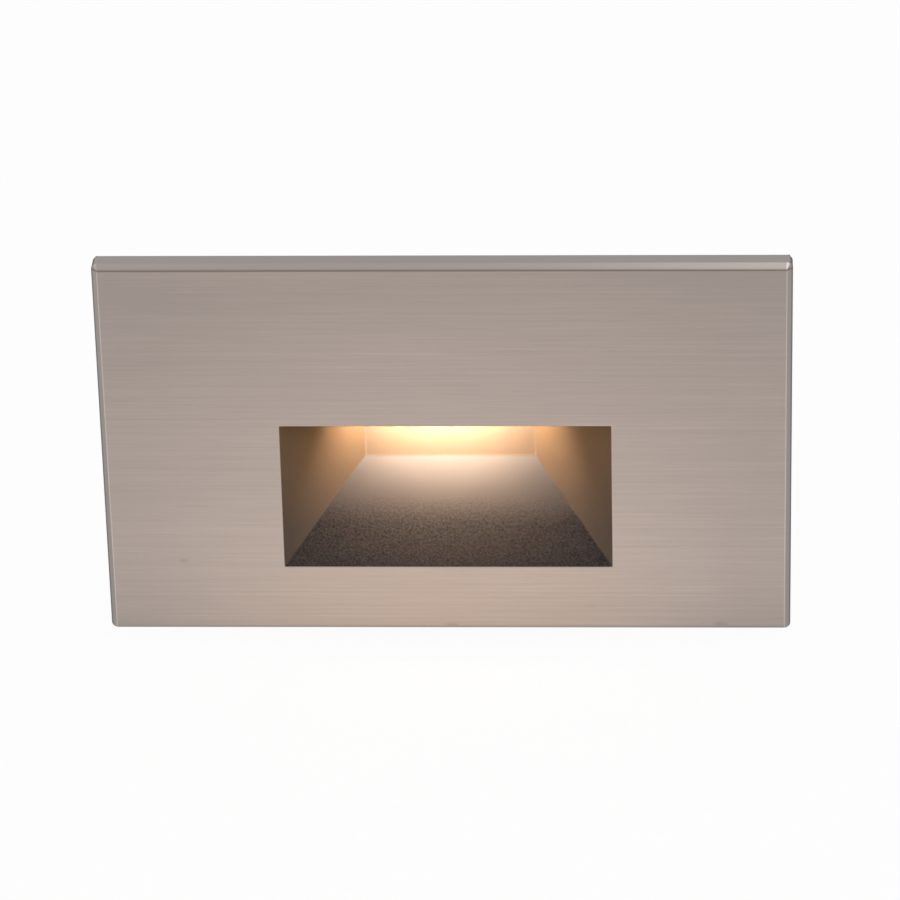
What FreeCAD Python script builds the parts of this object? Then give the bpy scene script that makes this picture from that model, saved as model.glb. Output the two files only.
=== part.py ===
import FreeCAD, Part
import math
import operator
import os
import Sketcher

# Step light for a horizontal single-gang box. The wall is the plane y = 0, the light faces -Y,
# +Z is up, and the origin is the middle between the two screws that hold the bracket to the box.

SHEET = "Sizes"
FRONT = "XZ_Plane"
PLAN = "XY_Plane"
SIDE = "YZ_Plane"
BOTH = (-1, 1)
UP = FreeCAD.Vector(0, 0, 1)

doc = FreeCAD.newDocument("step_light")
sheet = doc.addObject("Spreadsheet::Sheet", SHEET)


class Size:
    """A size of the light: its value now, and the expression that ties it to the sheet."""

    def __init__(self, value, text=None):
        self.value = value
        self.text = str(value) if text is None else text

    def __add__(self, other):
        return combined(operator.add, self, "+", other)

    def __radd__(self, other):
        return combined(operator.add, other, "+", self)

    def __sub__(self, other):
        return combined(operator.sub, self, "-", other)

    def __rsub__(self, other):
        return combined(operator.sub, other, "-", self)

    def __mul__(self, other):
        return combined(operator.mul, self, "*", other)

    def __rmul__(self, other):
        return combined(operator.mul, other, "*", self)

    def __truediv__(self, other):
        return combined(operator.truediv, self, "/", other)

    def __neg__(self):
        return -1 * self


def as_size(item):
    return item if isinstance(item, Size) else Size(item)


def combined(work, one, sign, other):
    one, other = as_size(one), as_size(other)
    return Size(work(one.value, other.value), f"({one.text} {sign} {other.text})")


def slant(run, rise):
    """The length of a slope per unit of its run."""
    ratio = rise / run
    square = 1 + ratio * ratio
    return Size(math.sqrt(square.value), f"sqrt({square.text})")


def cell(name, value):
    """Writes a driving size into the next row of the sheet, under its own name."""
    cell.row += 1
    sheet.set(f"A{cell.row}", name.replace("_", " "))
    sheet.set(f"B{cell.row}", str(value))
    sheet.setAlias(f"B{cell.row}", name)
    return Size(value, f"{SHEET}.{name}")


cell.row = 0

# face plate: a shallow cast pan with a bevelled edge
plate_width = cell("plate_width", 127.0)
plate_height = cell("plate_height", 76.2)
plate_depth = cell("plate_depth", 4.0)
plate_skin = cell("plate_skin", 1.6)
plate_corner = cell("plate_corner", 1.2)
plate_bevel = cell("plate_bevel", 1.05)
rim_width = cell("rim_width", 3.2)
gasket_thick = cell("gasket_thick", 1.0)
gasket_inset = cell("gasket_inset", 0.5)

# mouth and scoop
mouth_width = cell("mouth_width", 61.1)
mouth_height = cell("mouth_height", 29.55)
scoop_clear = cell("scoop_clear", 0.29)
mouth_edge = cell("mouth_edge", 0.3)
scoop_depth = cell("scoop_depth", 18.0)
scoop_back_width = cell("scoop_back_width", 32.0)
scoop_rise = cell("scoop_rise", 13.9)
scoop_wall = cell("scoop_wall", 1.6)
frame_margin = cell("frame_margin", 0.3)

# light slot in the scoop's ceiling, with the lens over it
slot_width = cell("slot_width", 29.0)
slot_run = cell("slot_run", 7.6)
slot_lip = cell("slot_lip", 0.3)
lens_lap = cell("lens_lap", 1.8)
lens_clear = cell("lens_clear", 0.2)
lens_thick = cell("lens_thick", 2.0)
lens_gasket_thick = cell("lens_gasket_thick", 0.6)
lens_frame_wall = cell("lens_frame_wall", 1.2)
lens_frame_rise = cell("lens_frame_rise", 0.6)
lens_edge = cell("lens_edge", 0.3)

# light engine above the lens
reflector_height = cell("reflector_height", 1.6)
throat_side = cell("throat_side", 2.0)
throat_end = cell("throat_end", 0.8)
led_size = cell("led_size", 3.0)
led_height = cell("led_height", 0.6)
led_dome = cell("led_dome", 0.25)
led_pitch = cell("led_pitch", 7.0)
led_count = cell("led_count", 3)
led_board_lap = cell("led_board_lap", 2.2)
led_board_tail = cell("led_board_tail", 0.7)
led_board_thick = cell("led_board_thick", 1.6)
pad_thick = cell("pad_thick", 0.5)
pad_inset = cell("pad_inset", 0.5)
spreader_thick = cell("spreader_thick", 2.0)
spreader_tail = cell("spreader_tail", 2.7)
flange_clear = cell("flange_clear", 1.1)
spreader_bend = cell("spreader_bend", 1.0)
post_radius = cell("post_radius", 2.4)
post_gap = cell("post_gap", 0.3)
post_tip_gap = cell("post_tip_gap", 0.5)
lead_radius = cell("lead_radius", 0.5)
lead_pitch = cell("lead_pitch", 8.0)
lead_gap = cell("lead_gap", 0.3)
lead_drop = cell("lead_drop", 1.6)

# screws: a larger one for the housing, a smaller one for the spreader and the driver board
screw_radius = cell("screw_radius", 1.5)
screw_head_radius = cell("screw_head_radius", 2.8)
screw_head_height = cell("screw_head_height", 2.0)
small_screw_radius = cell("small_screw_radius", 1.25)
small_head_radius = cell("small_head_radius", 2.2)
small_head_height = cell("small_head_height", 1.4)
head_edge = cell("head_edge", 0.5)
thread_clear = cell("thread_clear", 0.05)
hole_clear = cell("hole_clear", 0.2)
head_clear = cell("head_clear", 0.1)
spreader_screw_length = cell("spreader_screw_length", 7.5)
small_screw_length = cell("small_screw_length", 8.0)
tip_gap = cell("tip_gap", 1.5)

# rear housing
housing_width = cell("housing_width", 70.0)
housing_height = cell("housing_height", 49.6)
housing_depth = cell("housing_depth", 43.2)
housing_wall = cell("housing_wall", 1.8)
housing_back_wall = cell("housing_back_wall", 2.0)
housing_corner = cell("housing_corner", 4.0)
step_drop = cell("step_drop", 10.1)
step_clear = cell("step_clear", 0.4)
housing_edge = cell("housing_edge", 1.5)
housing_gasket_thick = cell("housing_gasket_thick", 0.8)
column_inset = cell("column_inset", 5.5)
column_bite = cell("column_bite", 0.5)
column_gap = cell("column_gap", 0.2)
boss_gap = cell("boss_gap", 0.7)
boss_reach = cell("boss_reach", 8.0)
boss_hole_depth = cell("boss_hole_depth", 7.5)
driver_post_inset = cell("driver_post_inset", 4.5)

# supply entry
gland_x = cell("gland_x", 16.0)
gland_z = cell("gland_z", -10.0)
gland_hole = cell("gland_hole", 5.0)
gland_bore = cell("gland_bore", 3.0)
gland_flange = cell("gland_flange", 7.0)
gland_flange_thick = cell("gland_flange_thick", 1.8)
gland_lip = cell("gland_lip", 1.2)
gland_tail = cell("gland_tail", 1.6)
gland_taper = cell("gland_taper", 0.8)

# driver board and its parts: x is measured from the board's nearer side and z from its lower
# edge or from the roof above it, but from its middle for what stands there (the inductor's,
# fuse's and chip's x, the bridge's and chip's z)
driver_gap = cell("driver_gap", 3.4)
insulator_thick = cell("insulator_thick", 0.4)
driver_board_thick = cell("driver_board_thick", 1.6)
board_gap = cell("board_gap", 0.5)
capacitor_x = cell("capacitor_x", 15.7)
capacitor_z = cell("capacitor_z", 5.9)
capacitor_radius = cell("capacitor_radius", 5.0)
capacitor_length = cell("capacitor_length", 16.0)
capacitor_crimp = cell("capacitor_crimp", 0.4)
inductor_x = cell("inductor_x", -1.0)
inductor_z = cell("inductor_z", 6.4)
inductor_radius = cell("inductor_radius", 6.0)
inductor_length = cell("inductor_length", 11.0)
inductor_flange = cell("inductor_flange", 1.4)
winding_inset = cell("winding_inset", 0.8)
film_x = cell("film_x", 16.7)
film_z = cell("film_z", 3.9)
film_width = cell("film_width", 13.0)
film_height = cell("film_height", 6.0)
film_length = cell("film_length", 12.0)
film_edge = cell("film_edge", 0.8)
bridge_x = cell("bridge_x", 14.7)
bridge_z = cell("bridge_z", -5.0)
bridge_width = cell("bridge_width", 9.0)
bridge_height = cell("bridge_height", 6.8)
bridge_length = cell("bridge_length", 3.2)
bridge_edge = cell("bridge_edge", 0.8)
varistor_x = cell("varistor_x", 18.7)
varistor_z = cell("varistor_z", 6.5)
varistor_radius = cell("varistor_radius", 4.5)
varistor_thick = cell("varistor_thick", 3.6)
varistor_rise = cell("varistor_rise", 1.5)
varistor_leg = cell("varistor_leg", 0.4)
varistor_leg_pitch = cell("varistor_leg_pitch", 5.0)
fuse_x = cell("fuse_x", -1.0)
fuse_z = cell("fuse_z", 7.5)
fuse_radius = cell("fuse_radius", 4.2)
fuse_length = cell("fuse_length", 7.5)
fuse_edge = cell("fuse_edge", 0.6)
chip_x = cell("chip_x", -4.0)
chip_z = cell("chip_z", -5.0)
chip_width = cell("chip_width", 5.0)
chip_height = cell("chip_height", 4.0)
chip_length = cell("chip_length", 1.5)
chip_leg_reach = cell("chip_leg_reach", 1.0)
chip_leg_width = cell("chip_leg_width", 0.45)
chip_leg_thick = cell("chip_leg_thick", 0.25)
chip_leg_pitch = cell("chip_leg_pitch", 1.27)
chip_leg_count = cell("chip_leg_count", 4)

# mounting bracket, hanger pads and set screws
bracket_side_gap = cell("bracket_side_gap", 6.3)
bracket_gap = cell("bracket_gap", 3.1)
bracket_sheet = cell("bracket_sheet", 1.2)
bracket_corner = cell("bracket_corner", 3.0)
bracket_bend = cell("bracket_bend", 0.9)
window_clear = cell("window_clear", 1.1)
screw_side_gap = cell("screw_side_gap", 6.65)
box_slot_width = cell("box_slot_width", 4.0)
box_slot_length = cell("box_slot_length", 7.0)
tab_inset = cell("tab_inset", 6.0)
tab_width = cell("tab_width", 8.0)
tab_gap = cell("tab_gap", 0.2)
hanger_width = cell("hanger_width", 6.0)
hanger_set = cell("hanger_set", 0.3)
hang_clear = cell("hang_clear", 0.1)
rim_bite = cell("rim_bite", 0.5)
set_screw_radius = cell("set_screw_radius", 1.25)
set_screw_recess = cell("set_screw_recess", 0.3)
set_screw_margin = cell("set_screw_margin", 0.25)
socket_radius = cell("socket_radius", 0.75)
socket_depth = cell("socket_depth", 1.5)

# depths along Y, from the front face to the seal behind it
face_y = -gasket_thick - plate_depth
rim_back = -gasket_thick
skin_back = face_y + plate_skin
scoop_end = face_y + scoop_depth

# the housing and what stands in it, with the box's screws clear of its sides
box_screw_spacing = housing_width + 2 * screw_side_gap
inner_half_width = housing_width / 2 - housing_wall
inner_half_height = housing_height / 2 - housing_wall
column_x = housing_width / 2 - column_inset
column_z = housing_height / 2 - column_inset
column_radius = column_inset - housing_wall + column_bite
boss_radius = column_inset - housing_wall - boss_gap
driver_post_x = housing_width / 2 - driver_post_inset
driver_post_radius = driver_post_inset - housing_wall + column_bite
column_front = boss_reach + column_gap

# the scoop: its floor just clears the housing's seal at the wall plane, and climbs from its sill
splay = (mouth_width - scoop_back_width) / 2
side_wall = scoop_wall * slant(scoop_depth, splay)
floor_wall = scoop_wall * slant(scoop_depth, scoop_rise)
climb_to_wall = scoop_rise * -face_y / scoop_depth
sill_z = scoop_clear + floor_wall - climb_to_wall - inner_half_height
lintel_z = sill_z + mouth_height
floor_end_z = sill_z + scoop_rise
ceiling_top = lintel_z + scoop_wall

# the lens and its frame over the slot
slot_back = scoop_end - slot_lip
slot_front = slot_back - slot_run
slot_middle = slot_back - slot_run / 2
slot_half = slot_width / 2
frame_reach = lens_lap + lens_clear + lens_frame_wall
frame_height = lens_gasket_thick + lens_thick + lens_frame_rise
scoop_back = slot_back + frame_reach + frame_margin
lens_bottom = ceiling_top + lens_gasket_thick
lens_top = lens_bottom + lens_thick

# the light engine's layers above the lens, and its leads behind the scoop
led_board_bottom = lens_top + reflector_height
led_board_top = led_board_bottom + led_board_thick
led_board_half = slot_half + lens_lap + lens_clear
spreader_bottom = led_board_top + pad_thick
spreader_top = spreader_bottom + spreader_thick
post_x = slot_half + frame_reach + post_gap + post_radius
flange_back = skin_back + spreader_thick
post_y = flange_back + spreader_bend + head_clear + small_head_radius
lead_y = scoop_back + lead_gap + lead_radius

# depths along Y behind the scoop; the housing is full height only as far as its driver board
housing_front = housing_gasket_thick
housing_back = housing_front + housing_depth
housing_inside = housing_back - housing_back_wall
insulator_front = scoop_back + driver_gap
driver_front = insulator_front + insulator_thick
driver_back = driver_front + driver_board_thick
step_inside = driver_back + step_clear
step_back = step_inside + housing_back_wall
lead_bend_radius = driver_front - lead_y
lead_bend_z = led_board_bottom - lead_drop
board_half_width = inner_half_width - board_gap
board_half_height = inner_half_height - board_gap
step_top = housing_height / 2 - step_drop
low_half_height = (step_top + housing_height / 2) / 2
low_middle = (step_top - housing_height / 2) / 2
driver_roof = step_top - housing_wall - board_gap

# the bracket, its tabs and the set screws below them
rim_inside = plate_height / 2 - rim_width
tab_edge = rim_inside - bracket_gap
tab_front = skin_back + tab_gap
bracket_half_width = plate_width / 2 - rim_width - bracket_side_gap
tab_x = bracket_half_width - tab_inset
set_screw_y = rim_back - set_screw_margin - thread_clear - set_screw_radius
set_screw_foot = set_screw_recess - plate_height / 2

doc.recompute()


def bind(item, prop, size):
    item.setExpression(prop, as_size(size).text)


def spot(x, y):
    return FreeCAD.Vector(as_size(x).value, as_size(y).value, 0)


def origin_item(body, role):
    return next(item for item in body.Origin.OriginFeatures if item.Role == role)


def new_body(name):
    body = doc.addObject("PartDesign::Body", name)
    body.Label = name
    body.Placement = FreeCAD.Placement()
    return body


def new_sketch(body, name, plane, level=0, across=0, along=0):
    """A sketch parallel to an origin plane: level is its distance along +Y, +Z or +X."""
    sketch = body.newObject("Sketcher::SketchObject", name)
    sketch.AttachmentSupport = [(origin_item(body, plane), "")]
    sketch.MapMode = "FlatFace"
    bind(sketch, ".AttachmentOffset.Base.x", across)
    bind(sketch, ".AttachmentOffset.Base.y", along)
    bind(sketch, ".AttachmentOffset.Base.z", -level if plane == FRONT else level)
    return sketch


def hold(sketch, kind, items, size):
    constraint = Sketcher.Constraint(kind, *items, float(as_size(size).value))
    bind(sketch, f"Constraints[{sketch.addConstraint(constraint)}]", size)


def place(sketch, geometry, point, x, y):
    """Fixes one point of a sketch at x, y from the sketch's origin."""
    hold(sketch, "DistanceX", (-1, 1, geometry, point), x)
    hold(sketch, "DistanceY", (-1, 1, geometry, point), y)


def join(sketch, kind, *items):
    sketch.addConstraint(Sketcher.Constraint(kind, *items))


def outline(sketch, points):
    """A closed outline of straight lines through the points."""
    first = sketch.GeometryCount
    spots = [spot(x, y) for x, y in points]
    for start, stop in zip(spots, spots[1:] + spots[:1]):
        sketch.addGeometry(Part.LineSegment(start, stop), False)
    for i, (x, y) in enumerate(points):
        join(sketch, "Coincident", first + i, 2, first + (i + 1) % len(points), 1)
        place(sketch, first + i, 1, x, y)


def rectangle(sketch, left, bottom, right, top):
    outline(sketch, [(left, bottom), (right, bottom), (right, top), (left, top)])


def centred_rectangle(sketch, half_width, half_height):
    rectangle(sketch, -half_width, -half_height, half_width, half_height)


def circle(sketch, x, y, radius):
    ring = Part.Circle(spot(x, y), UP, as_size(radius).value)
    item = sketch.addGeometry(ring, False)
    place(sketch, item, 3, x, y)
    hold(sketch, "Radius", (item,), radius)


def quarter_turns(angle, turns):
    start = angle * math.pi / 2
    return start, start + turns * math.pi / 2


def rounded_rectangle(sketch, half_width, half_height, radius):
    """A rectangle about the sketch's origin with its four corners rounded."""
    first = sketch.GeometryCount
    size = as_size(radius).value
    wide, high = as_size(half_width).value - size, as_size(half_height).value - size
    signs = ((1, -1), (1, 1), (-1, 1), (-1, -1))
    centres = [FreeCAD.Vector(wide * across, high * along, 0) for across, along in signs]
    outward = [FreeCAD.Vector(x, y, 0) for x, y in ((0, -size), (size, 0), (0, size), (-size, 0))]
    for i in range(4):
        start, stop = centres[i - 1] + outward[i], centres[i] + outward[i]
        sketch.addGeometry(Part.LineSegment(start, stop), False)
    for i in range(4):
        corner = Part.Circle(centres[i], UP, size)
        sketch.addGeometry(Part.ArcOfCircle(corner, *quarter_turns(i - 1, 1)), False)
    for i in range(4):
        line, arc, after = first + i, first + 4 + i, first + (i + 1) % 4
        join(sketch, "Tangent", line, 2, arc, 1)
        join(sketch, "Tangent", arc, 2, after, 1)
        join(sketch, "Horizontal" if i % 2 == 0 else "Vertical", line)
        if i > 0:
            join(sketch, "Equal", first + 4, arc)
    hold(sketch, "DistanceY", (-1, 1, first, 1), -half_height)
    hold(sketch, "DistanceX", (-1, 1, first + 1, 1), half_width)
    hold(sketch, "DistanceY", (-1, 1, first + 2, 1), half_height)
    hold(sketch, "DistanceX", (-1, 1, first + 3, 1), -half_width)
    hold(sketch, "Radius", (first + 4,), radius)


def slot(sketch, x, length, width):
    """A round-ended slot along the sketch's x axis, centred at x."""
    left = sketch.GeometryCount
    right, top, bottom = left + 1, left + 2, left + 3
    reach, radius = (length - width) / 2, width / 2
    ends = [x - reach, x + reach]
    for end, angle in zip(ends, (1, -1)):
        cap = Part.Circle(spot(end, 0), UP, as_size(radius).value)
        sketch.addGeometry(Part.ArcOfCircle(cap, *quarter_turns(angle, 2)), False)
    sketch.addGeometry(Part.LineSegment(spot(ends[0], radius), spot(ends[1], radius)), False)
    sketch.addGeometry(Part.LineSegment(spot(ends[1], -radius), spot(ends[0], -radius)), False)
    join(sketch, "Tangent", top, 1, left, 1)
    join(sketch, "Tangent", top, 2, right, 2)
    join(sketch, "Tangent", bottom, 1, right, 1)
    join(sketch, "Tangent", bottom, 2, left, 2)
    join(sketch, "Equal", left, right)
    for cap, end in zip((left, right), ends):
        place(sketch, cap, 3, end, 0)
    hold(sketch, "Radius", (left,), radius)


def settled(feature):
    """Recomputes the document and stops at the first feature that fails."""
    doc.recompute()
    if {"Invalid", "Error"} & set(feature.State):
        raise ValueError(f"{feature.Name} failed")
    if feature.Shape.isNull():
        raise ValueError(f"{feature.Name} is empty")
    return feature


def pad(body, name, sketch, length, side=1):
    """Adds the sketch's area, pulled along +Y, +Z or +X (side 1) or the other way (side -1)."""
    feature = body.newObject("PartDesign::Pad", name)
    feature.Profile = sketch
    bind(feature, "Length", length)
    faces_minus = sketch.AttachmentSupport[0][0].Role == FRONT
    feature.Reversed = faces_minus == (side > 0)
    return settled(feature)


def both_ways(body, name, sketch, length):
    feature = pad(body, name, sketch, length)
    feature.SideType = "Symmetric"
    return settled(feature)


def checked_cut(body, feature, before):
    if not settled(feature).Shape.Volume < before - 1e-6:
        raise ValueError(f"{body.Label}: {feature.Name} removes nothing")
    return feature


def pocket(body, name, sketch, length, side):
    """Cuts the sketch's area away along +Y, +Z or +X (side 1) or the other way (side -1)."""
    before = body.Shape.Volume
    feature = body.newObject("PartDesign::Pocket", name)
    feature.Profile = sketch
    bind(feature, "Length", length)
    faces_minus = sketch.AttachmentSupport[0][0].Role == FRONT
    feature.Reversed = faces_minus != (side > 0)
    return checked_cut(body, feature, before)


def turned(body, name, points, plane, level, across=0, along=0):
    """Turns an outline of (radius, height) points about the sketch's upright axis."""
    sketch = new_sketch(body, f"{name}_profile", plane, level, across, along)
    outline(sketch, points)
    feature = body.newObject("PartDesign::Revolution", name)
    feature.Profile = sketch
    feature.ReferenceAxis = (sketch, ["V_Axis"])
    feature.Angle = 360
    return settled(feature)


def loft(body, name, kind, first, last):
    feature = body.newObject(f"PartDesign::{kind}", name)
    feature.Profile = first
    feature.Sections = [last]
    feature.Ruled = True
    return settled(feature)


def repeat(body, name, feature, axis, spacing):
    """Repeats a feature once along an axis."""
    pattern = body.newObject("PartDesign::LinearPattern", name)
    pattern.Originals = [feature]
    pattern.Direction = (origin_item(body, axis), [""])
    bind(pattern, "Length", spacing)
    pattern.Occurrences = 2
    body.Tip = pattern
    return settled(pattern)


def edges_where(feature, test):
    """The names of a feature's edges whose box passes the test."""
    edges = enumerate(feature.Shape.Edges, 1)
    return [f"Edge{number}" for number, edge in edges if test(edge.BoundBox)]


def soften(body, name, kind, feature, prop, size, test):
    """Rounds or bevels the edges of a feature that pass the test."""
    blend = body.newObject(f"PartDesign::{kind}", name)
    blend.Base = (feature, edges_where(feature, test))
    bind(blend, prop, size)
    return settled(blend)


def near(one, other):
    return abs(one - other) < 1e-4


def at_front(feature):
    """Tests for the edges that lie in the feature's foremost plane."""
    front = feature.Shape.BoundBox.YMin
    return lambda box: near(box.YMax, front)


def at_back(feature):
    """Tests for the edges that lie in the feature's rearmost plane."""
    back = feature.Shape.BoundBox.YMax
    return lambda box: near(box.YMin, back)


def corner_circles(sketch, radius, rises=BOTH):
    """Circles where the housing's screws run: all four, or the lower or upper pair."""
    for side in BOTH:
        for rise in rises:
            circle(sketch, side * column_x, rise * column_z, radius)


def pair_of_circles(sketch, x, y, radius):
    for side in BOTH:
        circle(sketch, side * x, y, radius)


# face plate


def add_plate_pan(body):
    """The bevelled plate, hollowed from behind so that a rim meets the wall."""
    sketch = new_sketch(body, "plate_outline", FRONT, face_y)
    rounded_rectangle(sketch, plate_width / 2, plate_height / 2, plate_corner)
    blank = pad(body, "plate_blank", sketch, plate_depth)
    soften(body, "face_bevel", "Chamfer", blank, "Size", plate_bevel, at_front(blank))
    sketch = new_sketch(body, "recess_outline", FRONT, rim_back)
    half_width, half_height = plate_width / 2 - rim_width, plate_height / 2 - rim_width
    centred_rectangle(sketch, half_width, half_height)
    pocket(body, "back_recess", sketch, plate_depth - plate_skin, -1)


def scoop_section(body, name, level, half_width, floor, ceiling):
    sketch = new_sketch(body, name, FRONT, level)
    rectangle(sketch, -half_width, floor, half_width, ceiling)
    return sketch


def add_scoop_shell(body):
    """The scoop's outside: it narrows and climbs to a short, thick back wall."""
    mouth_half = mouth_width / 2 + side_wall
    end_half = scoop_back_width / 2 + side_wall
    mouth_floor, end_floor = sill_z - floor_wall, floor_end_z - floor_wall
    mouth = scoop_section(body, "shell_mouth", face_y, mouth_half, mouth_floor, ceiling_top)
    end = scoop_section(body, "shell_end", scoop_end, end_half, end_floor, ceiling_top)
    loft(body, "scoop_shell", "AdditiveLoft", mouth, end)
    back = scoop_section(body, "back_outline", scoop_end, end_half, end_floor, ceiling_top)
    pad(body, "scoop_back", back, scoop_back - scoop_end)


def add_seat_and_bosses(body):
    """The ring that the housing seals against, and the bosses that its screws bite."""
    sketch = new_sketch(body, "seat_outline", FRONT, skin_back)
    rounded_rectangle(sketch, housing_width / 2, housing_height / 2, housing_corner)
    inner_corner = housing_corner - housing_wall
    rounded_rectangle(sketch, inner_half_width, inner_half_height, inner_corner)
    pad(body, "seat_ring", sketch, -skin_back)
    sketch = new_sketch(body, "boss_outlines", FRONT, skin_back)
    corner_circles(sketch, boss_radius)
    pad(body, "bosses", sketch, boss_reach - skin_back)


def add_lens_seat(body):
    """A low frame round the lens, and a post at each end for the heat spreader."""
    sketch = new_sketch(body, "lens_frame_outline", PLAN, ceiling_top)
    for reach in (lens_lap + lens_clear, frame_reach):
        half = slot_half + reach
        rectangle(sketch, -half, slot_front - reach, half, slot_back + reach)
    pad(body, "lens_frame", sketch, frame_height)
    sketch = new_sketch(body, "post_outlines", PLAN, ceiling_top)
    pair_of_circles(sketch, post_x, post_y, post_radius)
    pad(body, "spreader_posts", sketch, spreader_bottom - ceiling_top)


def add_hanger_pads(body):
    """Pads inside the upper rim that hang over the bracket's upper tabs."""
    sketch = new_sketch(body, "hanger_outlines", FRONT, skin_back)
    for side in BOTH:
        middle, half = side * tab_x, hanger_width / 2
        low, high = tab_edge + hang_clear, rim_inside + rim_bite
        rectangle(sketch, middle - half, low, middle + half, high)
    pad(body, "hanger_pads", sketch, rim_back - hanger_set - skin_back)


def cut_mouth_and_slot(body):
    """The hollow of the scoop, open at the face, and the slot that the light comes through."""
    mouth = scoop_section(body, "mouth", face_y, mouth_width / 2, sill_z, lintel_z)
    end = scoop_section(body, "mouth_end", scoop_end, scoop_back_width / 2, floor_end_z, lintel_z)
    before = body.Shape.Volume
    cavity = loft(body, "scoop_hollow", "SubtractiveLoft", mouth, end)
    checked_cut(body, cavity, before)
    at_face, reach = at_front(cavity), (mouth_width / 2).value + 1
    soften(
        body, "mouth_rounding", "Fillet", cavity, "Radius", mouth_edge,
        lambda box: at_face(box) and box.XMin > -reach and box.XMax < reach and box.ZMax < reach / 2,
    )
    sketch = new_sketch(body, "slot_outline", PLAN, ceiling_top)
    rectangle(sketch, -slot_half, slot_front, slot_half, slot_back)
    pocket(body, "light_slot", sketch, scoop_wall * 1.5, -1)


def cut_screw_holes(body):
    sketch = new_sketch(body, "boss_hole_outlines", FRONT, boss_reach)
    corner_circles(sketch, screw_radius + thread_clear)
    pocket(body, "boss_holes", sketch, boss_hole_depth, -1)
    sketch = new_sketch(body, "post_hole_outlines", PLAN, spreader_bottom)
    pair_of_circles(sketch, post_x, post_y, small_screw_radius + thread_clear)
    depth = spreader_screw_length - spreader_thick + post_tip_gap
    pocket(body, "post_holes", sketch, depth, -1)
    sketch = new_sketch(body, "set_screw_hole_outlines", PLAN, -plate_height / 2)
    pair_of_circles(sketch, tab_x, set_screw_y, set_screw_radius + thread_clear)
    length = plate_height / 2 - tab_edge + set_screw_margin
    pocket(body, "set_screw_holes", sketch, length, 1)


def make_faceplate():
    body = new_body("faceplate")
    add_plate_pan(body)
    add_scoop_shell(body)
    add_seat_and_bosses(body)
    add_lens_seat(body)
    add_hanger_pads(body)
    cut_mouth_and_slot(body)
    cut_screw_holes(body)


def make_wall_gasket():
    body = new_body("wall_gasket")
    sketch = new_sketch(body, "ring", FRONT, rim_back)
    for inset in (gasket_inset, rim_width - gasket_inset):
        half_width, half_height = plate_width / 2 - inset, plate_height / 2 - inset
        centred_rectangle(sketch, half_width, half_height)
    pad(body, "seal", sketch, gasket_thick)


# bracket and set screws


def make_mounting_bracket():
    """Sheet with a window for the housing, slots for the box screws and four bent tabs."""
    body = new_body("mounting_bracket")
    sheet_edge = tab_edge - bracket_sheet
    sketch = new_sketch(body, "sheet_outline", FRONT, -bracket_sheet)
    rounded_rectangle(sketch, bracket_half_width, sheet_edge, bracket_corner)
    window = (housing_width / 2 + window_clear, housing_height / 2 + window_clear)
    rounded_rectangle(sketch, *window, housing_corner)
    pad(body, "bracket_blank", sketch, bracket_sheet)
    sketch = new_sketch(body, "tab_outlines", FRONT, 0)
    for side in BOTH:
        for rise in BOTH:
            middle, half = side * tab_x, tab_width / 2
            rectangle(sketch, middle - half, rise * sheet_edge, middle + half, rise * tab_edge)
    tabs = pad(body, "tabs", sketch, -tab_front, -1)
    behind, outer = at_back(tabs), tab_edge.value
    soften(
        body, "tab_bends", "Fillet", tabs, "Radius", bracket_bend,
        lambda box: behind(box) and (near(box.ZMin, outer) or near(box.ZMax, -outer)),
    )
    sketch = new_sketch(body, "slot_outlines", FRONT, 0)
    for side in BOTH:
        slot(sketch, side * box_screw_spacing / 2, box_slot_length, box_slot_width)
    pocket(body, "box_screw_slots", sketch, bracket_sheet * 2, -1)


def make_set_screw(name, side):
    """A headless screw up through the lower rim, its flat tip on the bracket's lower tab."""
    body = new_body(name)
    x = side * tab_x
    sketch = new_sketch(body, "shank_outline", PLAN, set_screw_foot)
    circle(sketch, x, set_screw_y, set_screw_radius)
    pad(body, "shank", sketch, -tab_edge - set_screw_foot)
    sketch = new_sketch(body, "socket_outline", PLAN, set_screw_foot)
    corners = []
    for i in range(6):
        angle = math.radians(60 * i)
        across, along = round(math.cos(angle), 6), round(math.sin(angle), 6)
        corners.append((x + across * socket_radius, set_screw_y + along * socket_radius))
    outline(sketch, corners)
    pocket(body, "socket", sketch, socket_depth, 1)


# light engine


def plan_block(name, level, half_width, front, back, height):
    """A flat rectangular layer of the light engine."""
    body = new_body(name)
    sketch = new_sketch(body, "layer_outline", PLAN, level)
    rectangle(sketch, -half_width, front, half_width, back)
    layer = pad(body, "layer", sketch, height)
    return body, layer


def make_lens_gasket():
    body, _ = plan_block(
        "lens_gasket", ceiling_top, slot_half + lens_lap,
        slot_front - lens_lap, slot_back + lens_lap, lens_gasket_thick,
    )
    sketch = new_sketch(body, "window_outline", PLAN, ceiling_top)
    rectangle(sketch, -slot_half, slot_front, slot_half, slot_back)
    pocket(body, "window", sketch, lens_gasket_thick, 1)


def make_lens():
    body, layer = plan_block(
        "lens", lens_bottom, slot_half + lens_lap,
        slot_front - lens_lap, slot_back + lens_lap, lens_thick,
    )
    top = layer.Shape.BoundBox.ZMax
    soften(body, "edge", "Chamfer", layer, "Size", lens_edge, lambda edge: near(edge.ZMin, top))


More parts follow.
